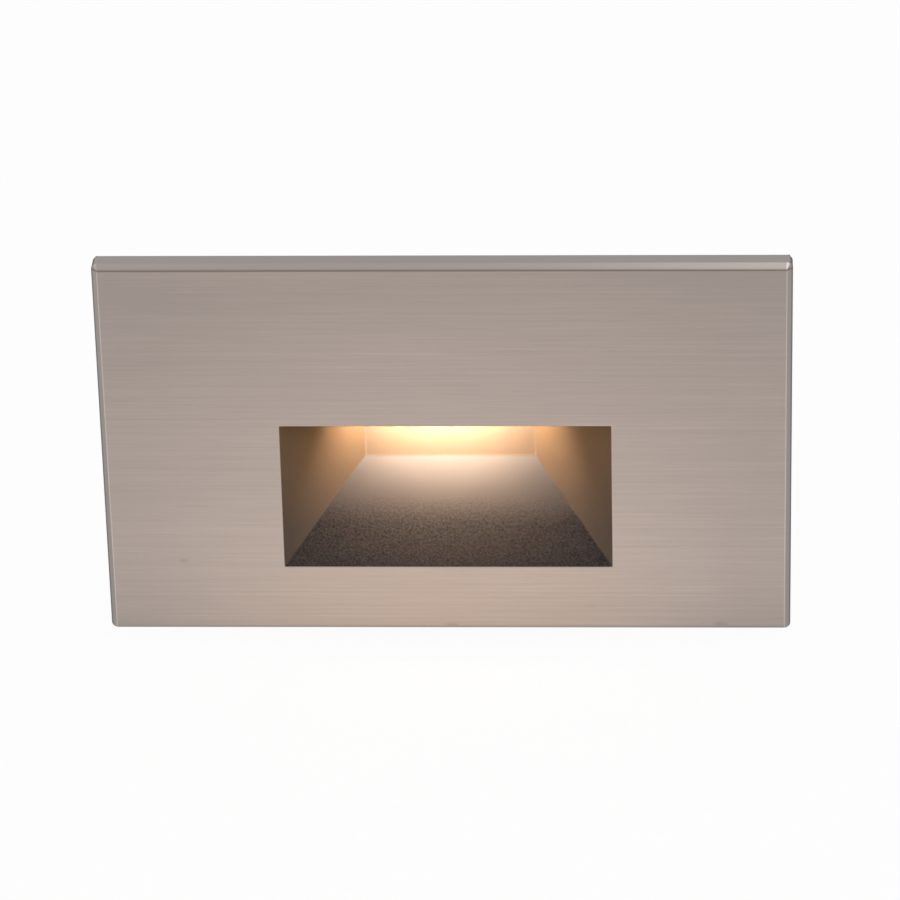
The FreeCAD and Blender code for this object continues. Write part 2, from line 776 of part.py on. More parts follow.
def make_light_reflector():
    """White frame that presses the lens down and funnels the light from the LEDs to the slot."""
    body, _ = plan_block(
        "light_reflector", lens_top, slot_half + lens_lap - lens_edge,
        slot_front - lens_lap + lens_edge, slot_back + lens_lap - lens_edge,
        reflector_height,
    )
    wide = new_sketch(body, "wide_end", PLAN, lens_top)
    rectangle(wide, -slot_half, slot_front, slot_half, slot_back)
    narrow = new_sketch(body, "narrow_end", PLAN, led_board_bottom)
    row_half = (led_count - 1) * led_pitch / 2 + led_size / 2
    half_width, half_run = row_half + throat_side, led_size / 2 + throat_end
    rectangle(narrow, -half_width, slot_middle - half_run,
              half_width, slot_middle + half_run)
    before = body.Shape.Volume
    checked_cut(body, loft(body, "funnel", "SubtractiveLoft", wide, narrow), before)


def make_led_board():
    plan_block(
        "led_board", led_board_bottom, led_board_half,
        slot_front - led_board_lap, lead_y + led_board_tail, led_board_thick,
    )


def make_led_emitters():
    """Square emitters under the board, each with a low round dome."""
    body = new_body("led_emitters")
    places = [(i - (led_count - 1) / 2) * led_pitch for i in range(led_count.value)]
    sketch = new_sketch(body, "package_outlines", PLAN, led_board_bottom)
    half = led_size / 2
    for x in places:
        rectangle(sketch, x - half, slot_middle - half,
                  x + half, slot_middle + half)
    pad(body, "packages", sketch, led_height, -1)
    sketch = new_sketch(body, "dome_outlines", PLAN, led_board_bottom - led_height)
    for x in places:
        circle(sketch, x, slot_middle, led_size * 0.4)
    pad(body, "domes", sketch, led_dome, -1)


def make_thermal_pad():
    plan_block(
        "thermal_pad", led_board_top, led_board_half - pad_inset,
        slot_front - led_board_lap + pad_inset,
        slot_back + spreader_tail - pad_inset, pad_thick,
    )


def make_heat_spreader():
    """Angle of aluminium: its foot lies on the LED board, its flange on the plate's back."""
    body = new_body("heat_spreader")
    sketch = new_sketch(body, "angle_outline", SIDE)
    back = slot_back + spreader_tail
    flange_top = inner_half_height - flange_clear
    outline(sketch, [
        (skin_back, spreader_bottom),
        (back, spreader_bottom),
        (back, spreader_top),
        (flange_back, spreader_top),
        (flange_back, flange_top),
        (skin_back, flange_top),
    ])
    angle = both_ways(body, "angle", sketch, 2 * (post_x + post_radius))
    box = angle.Shape.BoundBox
    bend = soften(
        body, "inner_bend", "Fillet", angle, "Radius", spreader_bend,
        lambda edge: near(edge.YLength, 0) and near(edge.ZLength, 0)
        and box.YMin + 1 < edge.YMin < box.YMax - 1 and box.ZMin + 1 < edge.ZMin < box.ZMax - 1,
    )
    soften(
        body, "foot_corners", "Chamfer", bend, "Size", spreader_bend,
        lambda edge: near(edge.YMin, box.YMax) and near(edge.XLength, 0),
    )
    sketch = new_sketch(body, "hole_outlines", PLAN, spreader_top)
    pair_of_circles(sketch, post_x, post_y, small_screw_radius + hole_clear)
    pocket(body, "holes", sketch, spreader_thick * 2, -1)


def make_led_leads():
    """Two leads that drop from the LED board's tail and bend back to the driver board."""
    body = new_body("led_leads")
    route = new_sketch(body, "route", SIDE, -lead_pitch / 2)
    drop = Part.LineSegment(spot(lead_y, led_board_bottom), spot(lead_y, lead_bend_z))
    route.addGeometry(drop, False)
    turn = Part.Circle(spot(driver_front, lead_bend_z), UP, lead_bend_radius.value)
    route.addGeometry(Part.ArcOfCircle(turn, *quarter_turns(2, 1)), False)
    place(route, 0, 1, lead_y, led_board_bottom)
    place(route, 0, 2, lead_y, lead_bend_z)
    join(route, "Coincident", 0, 2, 1, 1)
    place(route, 1, 3, driver_front, lead_bend_z)
    hold(route, "DistanceX", (-1, 1, 1, 2), driver_front)
    section = new_sketch(body, "section", PLAN, led_board_bottom)
    circle(section, -lead_pitch / 2, lead_y, lead_radius)
    lead = body.newObject("PartDesign::AdditivePipe", "lead")
    lead.Profile = section
    lead.Spine = (route, ["Edge1", "Edge2"])
    repeat(body, "second_lead", settled(lead), "X_Axis", lead_pitch)


# housing


def add_housing_shell(body):
    """A can whose roof steps down behind the driver board, hollowed to the same steps."""
    inner_corner = housing_corner - housing_wall
    sketch = new_sketch(body, "tall_outline", FRONT, housing_front)
    rounded_rectangle(sketch, housing_width / 2, housing_height / 2, housing_corner)
    tall = pad(body, "tall_part", sketch, step_back - housing_front)
    soften(body, "step_edge", "Fillet", tall, "Radius", housing_edge, at_back(tall))
    sketch = new_sketch(body, "low_outline", FRONT, housing_front, 0, low_middle)
    rounded_rectangle(sketch, housing_width / 2, low_half_height, housing_corner)
    low = pad(body, "low_part", sketch, housing_depth)
    soften(body, "back_edge", "Fillet", low, "Radius", housing_edge, at_back(low))
    sketch = new_sketch(body, "tall_inside_outline", FRONT, housing_front)
    rounded_rectangle(sketch, inner_half_width, inner_half_height, inner_corner)
    pocket(body, "tall_inside", sketch, step_inside - housing_front, 1)
    sketch = new_sketch(body, "low_inside_outline", FRONT, housing_front, 0, low_middle)
    rounded_rectangle(sketch, inner_half_width, low_half_height - housing_wall, inner_corner)
    pocket(body, "low_inside", sketch, housing_depth - housing_back_wall, 1)


def add_columns(body):
    """Columns that the screws run down: short ones under the step, long ones below them."""
    for name, rise, back in (("short", 1, step_inside), ("long", -1, housing_inside)):
        sketch = new_sketch(body, f"{name}_column_outlines", FRONT, column_front)
        corner_circles(sketch, column_radius, (rise,))
        pad(body, f"{name}_columns", sketch, back - column_front)
        sketch = new_sketch(body, f"{name}_hole_outlines", FRONT, column_front)
        corner_circles(sketch, screw_radius + hole_clear, (rise,))
        pocket(body, f"{name}_holes", sketch, back + housing_back_wall - column_front, 1)


def make_rear_housing():
    """Stepped can behind the plate, with a column for each screw and two driver posts."""
    body = new_body("rear_housing")
    add_housing_shell(body)
    add_columns(body)
    sketch = new_sketch(body, "driver_post_outlines", FRONT, driver_back)
    pair_of_circles(sketch, driver_post_x, 0, driver_post_radius)
    pad(body, "driver_posts", sketch, housing_inside - driver_back)
    sketch = new_sketch(body, "post_hole_outlines", FRONT, driver_back)
    pair_of_circles(sketch, driver_post_x, 0, small_screw_radius + thread_clear)
    depth = small_screw_length - insulator_thick - driver_board_thick + tip_gap
    pocket(body, "post_holes", sketch, depth, 1)
    sketch = new_sketch(body, "gland_hole_outline", FRONT, housing_back)
    circle(sketch, gland_x, gland_z, gland_hole)
    pocket(body, "gland_opening", sketch, housing_back_wall * 2, -1)


def make_housing_gasket():
    body = new_body("housing_gasket")
    sketch = new_sketch(body, "ring", FRONT, 0)
    rounded_rectangle(sketch, housing_width / 2, housing_height / 2, housing_corner)
    corner = housing_corner - housing_wall
    rounded_rectangle(sketch, inner_half_width, inner_half_height, corner)
    pad(body, "seal", sketch, housing_gasket_thick)


def pan_head_screw(body, name, plane, level, across, tip, seat, sides, head_height, side):
    """A screw along the sketch's upright axis; side 1 has its head towards + of that axis."""
    radius, head_radius = sides
    top = seat + side * head_height
    points = [
        (0, tip), (radius, tip), (radius, seat), (head_radius, seat),
        (head_radius, top - side * head_edge), (head_radius - head_edge, top), (0, top),
    ]
    return turned(body, name, points, plane, level, across)


def make_housing_screws():
    """Two long screws from the low part's back and two short ones from the step."""
    body = new_body("housing_screws")
    tip = boss_reach - boss_hole_depth + tip_gap
    sides = (screw_radius, screw_head_radius)
    for name, rise, seat in (("long", -1, housing_back), ("short", 1, step_back)):
        screw = pan_head_screw(
            body, f"{name}_screw", PLAN, rise * column_z, -column_x, tip, seat,
            sides, screw_head_height, 1,
        )
        repeat(body, f"other_{name}_screw", screw, "X_Axis", 2 * column_x)


def make_spreader_screws():
    body = new_body("spreader_screws")
    screw = pan_head_screw(
        body, "screw", FRONT, post_y, -post_x, spreader_top - spreader_screw_length,
        spreader_top, (small_screw_radius, small_head_radius), small_head_height, 1,
    )
    repeat(body, "other_screw", screw, "X_Axis", 2 * post_x)


def make_driver_screws():
    body = new_body("driver_screws")
    screw = pan_head_screw(
        body, "screw", PLAN, 0, -driver_post_x, insulator_front + small_screw_length,
        insulator_front, (small_screw_radius, small_head_radius), small_head_height, -1,
    )
    repeat(body, "other_screw", screw, "X_Axis", 2 * driver_post_x)


def make_wire_gland():
    """Rubber gland in the back wall: a flange outside, a tapered lip inside, a bore through."""
    body = new_body("wire_gland")
    lip = gland_hole + gland_lip
    end = housing_back + gland_flange_thick
    points = [
        (gland_bore, housing_inside - gland_tail),
        (lip - gland_taper, housing_inside - gland_tail),
        (lip, housing_inside),
        (gland_hole - thread_clear, housing_inside),
        (gland_hole - thread_clear, housing_back),
        (gland_flange, housing_back),
        (gland_flange, end - gland_taper),
        (gland_flange - gland_taper, end),
        (gland_bore, end),
    ]
    turned(body, "gland", points, PLAN, gland_z, gland_x)


# driver


def board_layer(name, level, thick):
    """A sheet across the housing, notched at its corners to clear the columns."""
    body = new_body(name)
    sketch = new_sketch(body, "board_outline", FRONT, level)
    centred_rectangle(sketch, board_half_width, board_half_height)
    pad(body, "sheet", sketch, thick)
    sketch = new_sketch(body, "notch_outlines", FRONT, level)
    near_x = column_x - column_radius - board_gap
    near_z = column_z - column_radius - board_gap
    for side in BOTH:
        for rise in BOTH:
            rectangle(
                sketch, side * near_x, rise * near_z,
                side * housing_width / 2, rise * housing_height / 2,
            )
    pocket(body, "notches", sketch, thick, 1)
    sketch = new_sketch(body, "hole_outlines", FRONT, level)
    pair_of_circles(sketch, driver_post_x, 0, small_screw_radius + hole_clear)
    pocket(body, "screw_holes", sketch, thick, 1)
    return body


def make_driver_insulator():
    body = board_layer("driver_insulator", insulator_front, insulator_thick)
    sketch = new_sketch(body, "lead_hole_outlines", FRONT, insulator_front)
    lead_end = lead_bend_z - lead_bend_radius
    pair_of_circles(sketch, lead_pitch / 2, lead_end, lead_radius + hole_clear)
    pocket(body, "lead_holes", sketch, insulator_thick, 1)


def make_driver_board():
    board_layer("driver_board", driver_front, driver_board_thick)


def board_block(name, x, z, half_width, half_height, length):
    """A block that stands on the driver board and points to the back of the housing."""
    body = new_body(name)
    sketch = new_sketch(body, "block_outline", FRONT, driver_back)
    rectangle(sketch, x - half_width, z - half_height,
              x + half_width, z + half_height)
    block = pad(body, "block", sketch, length)
    return body, block


def make_filter_capacitor():
    body = new_body("filter_capacitor")
    radius, crimp = capacitor_radius, capacitor_crimp
    top = driver_back + capacitor_length
    points = [
        (0, driver_back), (radius, driver_back),
        (radius, driver_back + 3 * crimp),
        (radius - crimp, driver_back + 4 * crimp),
        (radius, driver_back + 5 * crimp),
        (radius, top - crimp), (radius - crimp, top), (0, top),
    ]
    x, z = capacitor_x - board_half_width, driver_roof - capacitor_z
    turned(body, "can", points, PLAN, z, x)


def make_power_inductor():
    body = new_body("power_inductor")
    radius, waist = inductor_radius, inductor_radius - winding_inset
    top = driver_back + inductor_length
    points = [
        (0, driver_back), (radius, driver_back), (radius, driver_back + inductor_flange),
        (waist, driver_back + inductor_flange), (waist, top - inductor_flange),
        (radius, top - inductor_flange), (radius, top), (0, top),
    ]
    turned(body, "drum", points, PLAN, driver_roof - inductor_z, inductor_x)


def make_input_fuse():
    body = new_body("input_fuse")
    top = driver_back + fuse_length
    points = [
        (0, driver_back), (fuse_radius, driver_back), (fuse_radius, top - fuse_edge),
        (fuse_radius - fuse_edge, top), (0, top),
    ]
    turned(body, "cap", points, PLAN, fuse_z - board_half_height, fuse_x)


def make_film_capacitor():
    half = (film_width / 2, film_height / 2)
    x, z = board_half_width - film_x, driver_roof - film_z
    body, block = board_block("film_capacitor", x, z, *half, film_length)
    soften(body, "edges", "Fillet", block, "Radius", film_edge, at_back(block))


def make_bridge_rectifier():
    half = (bridge_width / 2, bridge_height / 2)
    x = bridge_x - board_half_width
    body, block = board_block("bridge_rectifier", x, bridge_z, *half, bridge_length)
    soften(body, "edges", "Chamfer", block, "Size", bridge_edge, at_back(block))


def make_surge_varistor():
    """A disc on edge, held off the board by its two legs."""
    body = new_body("surge_varistor")
    middle = driver_back + varistor_rise + varistor_radius
    x, z = varistor_x - board_half_width, varistor_z - board_half_height
    sketch = new_sketch(body, "disc_outline", SIDE, x)
    circle(sketch, middle, z, varistor_radius)
    both_ways(body, "disc", sketch, varistor_thick)
    sketch = new_sketch(body, "leg_outlines", FRONT, driver_back)
    for rise in BOTH:
        circle(sketch, x, z + rise * varistor_leg_pitch / 2, varistor_leg)
    pad(body, "legs", sketch, varistor_rise + varistor_radius)


def make_driver_chip():
    half = (chip_width / 2, chip_height / 2)
    body, _ = board_block("driver_chip", chip_x, chip_z, *half, chip_length)
    sketch = new_sketch(body, "leg_outlines", FRONT, driver_back)
    reach = chip_width / 2 + chip_leg_reach
    for i in range(chip_leg_count.value):
        middle = chip_z + (i - (chip_leg_count - 1) / 2) * chip_leg_pitch
        half = chip_leg_width / 2
        rectangle(sketch, chip_x - reach, middle - half,
                  chip_x + reach, middle + half)
    pad(body, "legs", sketch, chip_leg_thick)


make_mounting_bracket()
make_faceplate()
make_wall_gasket()
make_set_screw("set_screw_left", -1)
make_set_screw("set_screw_right", 1)
make_lens_gasket()
make_lens()
make_light_reflector()
make_led_board()
make_led_emitters()
make_thermal_pad()
make_heat_spreader()
make_spreader_screws()
make_led_leads()
make_housing_gasket()
make_rear_housing()
make_housing_screws()
make_wire_gland()
make_driver_board()
make_driver_insulator()
make_driver_screws()
make_filter_capacitor()
make_film_capacitor()
make_power_inductor()
make_bridge_rectifier()
make_surge_varistor()
make_input_fuse()
make_driver_chip()

doc.recompute()
for item in doc.Objects:
    if {"Invalid", "Error"} & set(item.State):
        raise ValueError(f"{item.Label} failed: {item.State}")
pieces = [item for item in doc.Objects if item.TypeId == "PartDesign::Body"]
for piece in pieces:
    if piece.Shape.isNull() or not piece.Shape.isValid() or piece.Shape.Volume <= 0:
        raise ValueError(f"{piece.Label} has no valid shape")

os.makedirs("parts", exist_ok=True)
for piece in pieces:
    piece.Shape.exportStep(f"parts/{piece.Label}.step")
    print(f"{piece.Label}: {len(piece.Shape.Solids)} solids, {piece.Shape.Volume:.1f} mm3")
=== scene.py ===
import bpy
import bmesh
import math
from mathutils import Euler, Matrix, Vector


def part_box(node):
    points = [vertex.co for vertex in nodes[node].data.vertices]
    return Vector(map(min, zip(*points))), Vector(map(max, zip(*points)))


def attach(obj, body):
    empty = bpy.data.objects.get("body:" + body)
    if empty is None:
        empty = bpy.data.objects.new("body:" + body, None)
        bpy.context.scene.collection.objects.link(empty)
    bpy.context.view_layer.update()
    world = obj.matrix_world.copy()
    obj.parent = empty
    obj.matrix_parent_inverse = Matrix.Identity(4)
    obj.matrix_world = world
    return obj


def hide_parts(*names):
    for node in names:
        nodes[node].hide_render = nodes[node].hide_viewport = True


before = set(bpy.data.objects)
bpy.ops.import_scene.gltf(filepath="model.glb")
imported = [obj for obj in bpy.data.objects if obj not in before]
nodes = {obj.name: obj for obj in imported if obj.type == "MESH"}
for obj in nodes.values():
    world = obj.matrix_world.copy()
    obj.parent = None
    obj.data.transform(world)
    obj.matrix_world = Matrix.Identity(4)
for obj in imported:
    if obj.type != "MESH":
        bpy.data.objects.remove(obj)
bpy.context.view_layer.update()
scene = bpy.context.scene
scene.view_settings.view_transform = "Standard"
print("loaded", len(nodes), "nodes of the step light")


def shade(red, green, blue):
    # a screen colour from 0 to 255, as the linear colour that the sockets take
    def toLinear(value):
        value = value / 255
        return value / 12.92 if value <= 0.04045 else ((value + 0.055) / 1.055) ** 2.4

    return (toLinear(red), toLinear(green), toLinear(blue), 1.0)


# how a finish is put together
def startFinish(name, sockets):
    material = bpy.data.materials.new(name)
    material.use_nodes = True
    shader = material.node_tree.nodes["Principled BSDF"]
    for socket, value in sockets.items():
        shader.inputs[socket].default_value = value
    return material, material.node_tree, shader


def place(tree, stretch=(1, 1, 1), turn=(0, 0, 0)):
    # the piece's own coordinates, in millimetres times the stretch
    coords = tree.nodes.new("ShaderNodeTexCoord")
    mapping = tree.nodes.new("ShaderNodeMapping")
    mapping.inputs["Scale"].default_value = [1000 * value for value in stretch]
    mapping.inputs["Rotation"].default_value = [math.radians(value) for value in turn]
    tree.links.new(coords.outputs["Object"], mapping.inputs["Vector"])
    return mapping.outputs[0]


def cloud(tree, vector, size, detail=3.0, roughness=0.55):
    # soft noise whose lumps are about size millimetres
    noise = tree.nodes.new("ShaderNodeTexNoise")
    noise.inputs["Scale"].default_value = 1 / size
    noise.inputs["Detail"].default_value = detail
    noise.inputs["Roughness"].default_value = roughness
    tree.links.new(vector, noise.inputs["Vector"])
    return noise.outputs["Fac"]


def spread(tree, value, low, high, fromLow=0.3, fromHigh=0.7):
    # the value between fromLow and fromHigh, as a value between low and high
    node = tree.nodes.new("ShaderNodeMapRange")
    node.inputs["From Min"].default_value = fromLow
    node.inputs["From Max"].default_value = fromHigh
    node.inputs["To Min"].default_value = low
    node.inputs["To Max"].default_value = high
    tree.links.new(value, node.inputs["Value"])
    return node.outputs["Result"]


def sums(tree, kind, one, other):
    node = tree.nodes.new("ShaderNodeMath")
    node.operation = kind
    for socket, item in zip(node.inputs, (one, other)):
        if isinstance(item, (int, float)):
            socket.default_value = item
        else:
            tree.links.new(item, socket)
    return node.outputs[0]


def blendColours(tree, amount, one, other, kind="MIX"):
    node = tree.nodes.new("ShaderNodeMix")
    node.data_type = "RGBA"
    node.blend_type = kind
    for socket, item in ((node.inputs[0], amount), (node.inputs[6], one), (node.inputs[7], other)):
        if isinstance(item, (int, float, tuple)):
            socket.default_value = item
        else:
            tree.links.new(item, socket)
    return node.outputs[2]


def raiseGrain(tree, shader, height, distance, normal=None):
    # relief of so many millimetres
    bump = tree.nodes.new("ShaderNodeBump")
    bump.inputs["Strength"].default_value = 1.0
    bump.inputs["Distance"].default_value = distance / 1000
    tree.links.new(height, bump.inputs["Height"])
    if normal:
        tree.links.new(normal, bump.inputs["Normal"])
    tree.links.new(bump.outputs[0], shader.inputs["Normal"])


def within(tree, value, low, high, edge):
    # 1 between low and high, fading over edge
    rising = spread(tree, value, 0, 1, low - edge, low)
    falling = spread(tree, value, 1, 0, high, high + edge)
    return sums(tree, "MULTIPLY", rising, falling)


def roundEdges(tree, samples):
    # the radius is left to the caller
    soft = tree.nodes.new("ShaderNodeBevel")
    soft.samples = samples
    return soft.inputs["Radius"], soft.outputs[0]


def findEdges(tree, rounded):
    # where the rounded normal leaves the true one there is an edge
    geometry = tree.nodes.new("ShaderNodeNewGeometry")
    between = tree.nodes.new("ShaderNodeVectorMath")
    between.operation = "DOT_PRODUCT"
    tree.links.new(rounded, between.inputs[0])
    tree.links.new(geometry.outputs["True Normal"], between.inputs[1])
    return spread(tree, between.outputs["Value"], 1, 0, 0.86, 0.97)


# camera and studio
cameraSetup = {
    "place": (0.0479, -0.8939, 0.4817),
    "down": 28.41,
    "left": 3.03,
    "roll": -1.46,
    "lens": 220.4,
}

cameraData = bpy.data.cameras.new("photoCamera")
cameraData.lens = cameraSetup["lens"]
cameraData.sensor_width = 36
cameraData.clip_start = 0.01
camera = bpy.data.objects.new("photoCamera", cameraData)
turned = Euler((math.radians(90 - cameraSetup["down"]), 0, math.radians(cameraSetup["left"])))
camera.matrix_world = (
    Matrix.Translation(cameraSetup["place"])
    @ turned.to_matrix().to_4x4()
    @ Matrix.Rotation(math.radians(cameraSetup["roll"]), 4, "Z")
)
scene.collection.objects.link(camera)
scene.camera = camera

studio = {
    "floorLevel": -0.0415,  # clears the set screws when they are backed off
    "floorSize": 12.0,
    "floorColour": (0.86, 0.86, 0.86, 1),
    "floorSeen": 0.95,  # how much of the floor is plain white to the camera; the rest keeps the shadow
    "floorMirrored": 0.75,
    "nearGlow": (0.045, 0.27),  # between these distances the floor that metal mirrors grows greyer
    "farGlow": 0.25,
    "glowMiddle": -0.004,
    "glowReach": 0.058,  # to either side of the middle, close to the plate
    "sideShade": 0.74,  # what is left of the glow at that reach
    "sideFade": (0.03, 0.16),  # between these distances the sides grow alike again
    "footGlow": (0.75, 0.012, 0.032),  # the share at the plate's foot, and where it grows to all
    "warmFade": (0.03, 0.1),
    "glowColour": (1.1, 1.0, 0.88, 1),
    "worldLevel": 0.68,
    "keyPower": 6.0,
    "keySize": 1.2,
    "keyPlace": (0.75, -1.0, 1.3),
    "fillPower": 3.0,
    "fillSize": 1.3,
    "fillPlace": (-1.1, -1.0, 0.6),
}


def whiteShare(tree):
    # how much of the floor shows as plain white, to the camera and glass, and to metal
    path = tree.nodes.new("ShaderNodeLightPath")
    shares = {
        "Is Camera Ray": studio["floorSeen"],
        "Is Transmission Ray": studio["floorSeen"],
        "Is Glossy Ray": studio["floorMirrored"],
    }
    most = 0
    for ray, share in shares.items():
        most = sums(tree, "MAXIMUM", most, sums(tree, "MULTIPLY", path.outputs[ray], share))
    return most


def layFloor():
    plane = bpy.data.meshes.new("floor")
    sketch = bmesh.new()
    bmesh.ops.create_grid(sketch, x_segments=2, y_segments=2, size=studio["floorSize"] / 2)
    bmesh.ops.translate(sketch, vec=(0, 0, studio["floorLevel"]), verts=sketch.verts)
    sketch.to_mesh(plane)
    sketch.free()
    floor = bpy.data.objects.new("floor", plane)
    scene.collection.objects.link(floor)
    material = bpy.data.materials.new("paleFloor")
    material.use_nodes = True
    tree = material.node_tree
    tree.nodes.clear()
    out = tree.nodes.new("ShaderNodeOutputMaterial")
    matt = tree.nodes.new("ShaderNodeBsdfDiffuse")
    matt.inputs["Color"].default_value = studio["floorColour"]
    glow = tree.nodes.new("ShaderNodeEmission")
    apart = tree.nodes.new("ShaderNodeSeparateXYZ")
    spot = tree.nodes.new("ShaderNodeTexCoord")
    tree.links.new(spot.outputs["Object"], apart.inputs[0])
    away = sums(tree, "ABSOLUTE", apart.outputs[1], 0)
    aside = sums(tree, "SUBTRACT", apart.outputs[0], studio["glowMiddle"])
    aside = sums(tree, "POWER", sums(tree, "DIVIDE", aside, studio["glowReach"]), 2)
    near = spread(tree, away, 1, 0.2, *studio["sideFade"])
    aside = sums(tree, "MULTIPLY", spread(tree, aside, 0, 1.2, 0, 1.2), near)
    foot, footStart, footEnd = studio["footGlow"]
    fade = spread(tree, away, 1, studio["farGlow"], *studio["nearGlow"])
    fade = sums(tree, "MULTIPLY", fade, spread(tree, away, foot, 1, footStart, footEnd))
    fade = sums(tree, "MULTIPLY", fade, spread(tree, aside, 1, studio["sideShade"], 0, 1))
    warmth = spread(tree, away, 1, 0, *studio["warmFade"])
    warmth = sums(tree, "MULTIPLY", spread(tree, aside, 1, 0, 0, 0.9), warmth)
    path = tree.nodes.new("ShaderNodeLightPath")
    warmth = sums(tree, "MULTIPLY", warmth, path.outputs["Is Glossy Ray"])
    tree.links.new(blendColours(tree, warmth, (1, 1, 1, 1), studio["glowColour"]), glow.inputs["Color"])
    tree.links.new(sums(tree, "MAXIMUM", fade, path.outputs["Is Camera Ray"]), glow.inputs["Strength"])
    mix = tree.nodes.new("ShaderNodeMixShader")
    tree.links.new(whiteShare(tree), mix.inputs[0])
    tree.links.new(matt.outputs[0], mix.inputs[1])
    tree.links.new(glow.outputs[0], mix.inputs[2])
    tree.links.new(mix.outputs[0], out.inputs["Surface"])
    plane.materials.append(material)


def hangLamp(name, power, size, place):
    lamp = bpy.data.lights.new(name, "AREA")
    lamp.energy = power
    lamp.shape = "DISK"
    lamp.size = size
    holder = bpy.data.objects.new(name, lamp)
    aim = Vector(place)
    holder.matrix_world = Matrix.Translation(aim) @ aim.to_track_quat("Z", "Y").to_matrix().to_4x4()
    scene.collection.objects.link(holder)


def lightWorld():
    world = bpy.data.worlds.new("paleStudio")
    world.use_nodes = True
    tree = world.node_tree
    tree.nodes.clear()
    out = tree.nodes.new("ShaderNodeOutputWorld")
    seen = tree.nodes.new("ShaderNodeBackground")
    falling = tree.nodes.new("ShaderNodeBackground")
    falling.inputs["Strength"].default_value = studio["worldLevel"]
    seen.inputs["Color"].default_value = falling.inputs["Color"].default_value = (1, 1, 1, 1)
    mix = tree.nodes.new("ShaderNodeMixShader")
    path = tree.nodes.new("ShaderNodeLightPath")
    tree.links.new(path.outputs["Is Camera Ray"], mix.inputs[0])
    tree.links.new(falling.outputs[0], mix.inputs[1])
    tree.links.new(seen.outputs[0], mix.inputs[2])
    tree.links.new(mix.outputs[0], out.inputs["Surface"])
    scene.world = world


layFloor()
lightWorld()
hangLamp("keyLamp", studio["keyPower"], studio["keySize"], studio["keyPlace"])
hangLamp("fillLamp", studio["fillPower"], studio["fillSize"], studio["fillPlace"])
print("studio ready")


# brushed face plate with its cast scoop
plateLook = {
    "colour": shade(210, 195, 186),
    "streak": shade(196, 182, 175),
    "dull": shade(191, 178, 171),
    # the rim, sides and bevel are the front's metal in tones picked by where they face: painted
    # reflection, and on the left and right sides painted shade
    "rim": shade(178, 169, 164),
    "side": shade(132, 132, 136),
    "sideEdge": (63.1, 63.4),  # the darker side of the plate, a painted shade along its left and right edges, starts between these
    "bevelled": shade(185, 175, 169),
    "roughness": (0.27, 0.34),
    "bevelX": 62.4,
    "bevelZ": 37.0,
    "bevelLine": (0.17, 0.3),  # half the width of the painted highlight lines down the sides and the painted shade line along the top, where the bevel meets the front
    "edgeRadius": (0.0002, 0.0007),  # outside the scoop and in it, in metres
    # a painted highlight and a painted shade, for the lines where the bevel meets the front
    "paintedHighlight": shade(238, 230, 222),
    "shaded": shade(128, 118, 112),
    # inside the scoop: lighter near the emitters at its top and back, which is painted light; the
    # sandier, darker floor is its own
    "backWall": shade(126, 109, 96),
    "wallHigh": shade(107, 86, 64),
    "wallLow": shade(82, 72, 66),
    "floorBack": shade(89, 87, 91),
    "floorFront": shade(55, 51, 52),
    # painted shade in the scoop's creases
    "creaseShade": shade(66, 54, 46),
    "grit": (0.25, 1.65),  # how far the sandy skin goes below and above its colour
    "scoopX": 30.9,
    "scoopLow": -24.7,
    "scoopHigh": 5.3,
    "scoopFront": -4.9,
    "scoopEdge": 0.05,
    "wallSpan": (-18, 2),  # the height over which the scoop's walls change from low to high, painted lighter towards the emitters
    "floorSpan": (1, 13.5),  # the depth over which its floor changes from front to back, painted lighter towards the emitters
    "calmSpan": (1.5, 7),  # the depth over which its sand grows smooth
    "scoopRoughness": 0.42,  # added to the plate's
    "marks": ((-49.3, -23.2, 1.2), (50.6, -36.7, 1.7), (0.4, -37.0, 1.5)),  # faint ones: x, z, size
    "markColour": shade(176, 156, 140),
}


def streaksAlong(tree, long, across):
    # brushed lines: fine hairs, and broader bands of them
    fine = cloud(tree, place(tree, long), 0.16, 2, 0.6)
    bands = cloud(tree, place(tree, across), 0.55, 4, 0.65)
    return sums(tree, "ADD", sums(tree, "MULTIPLY", fine, 0.45), sums(tree, "MULTIPLY", bands, 0.55))


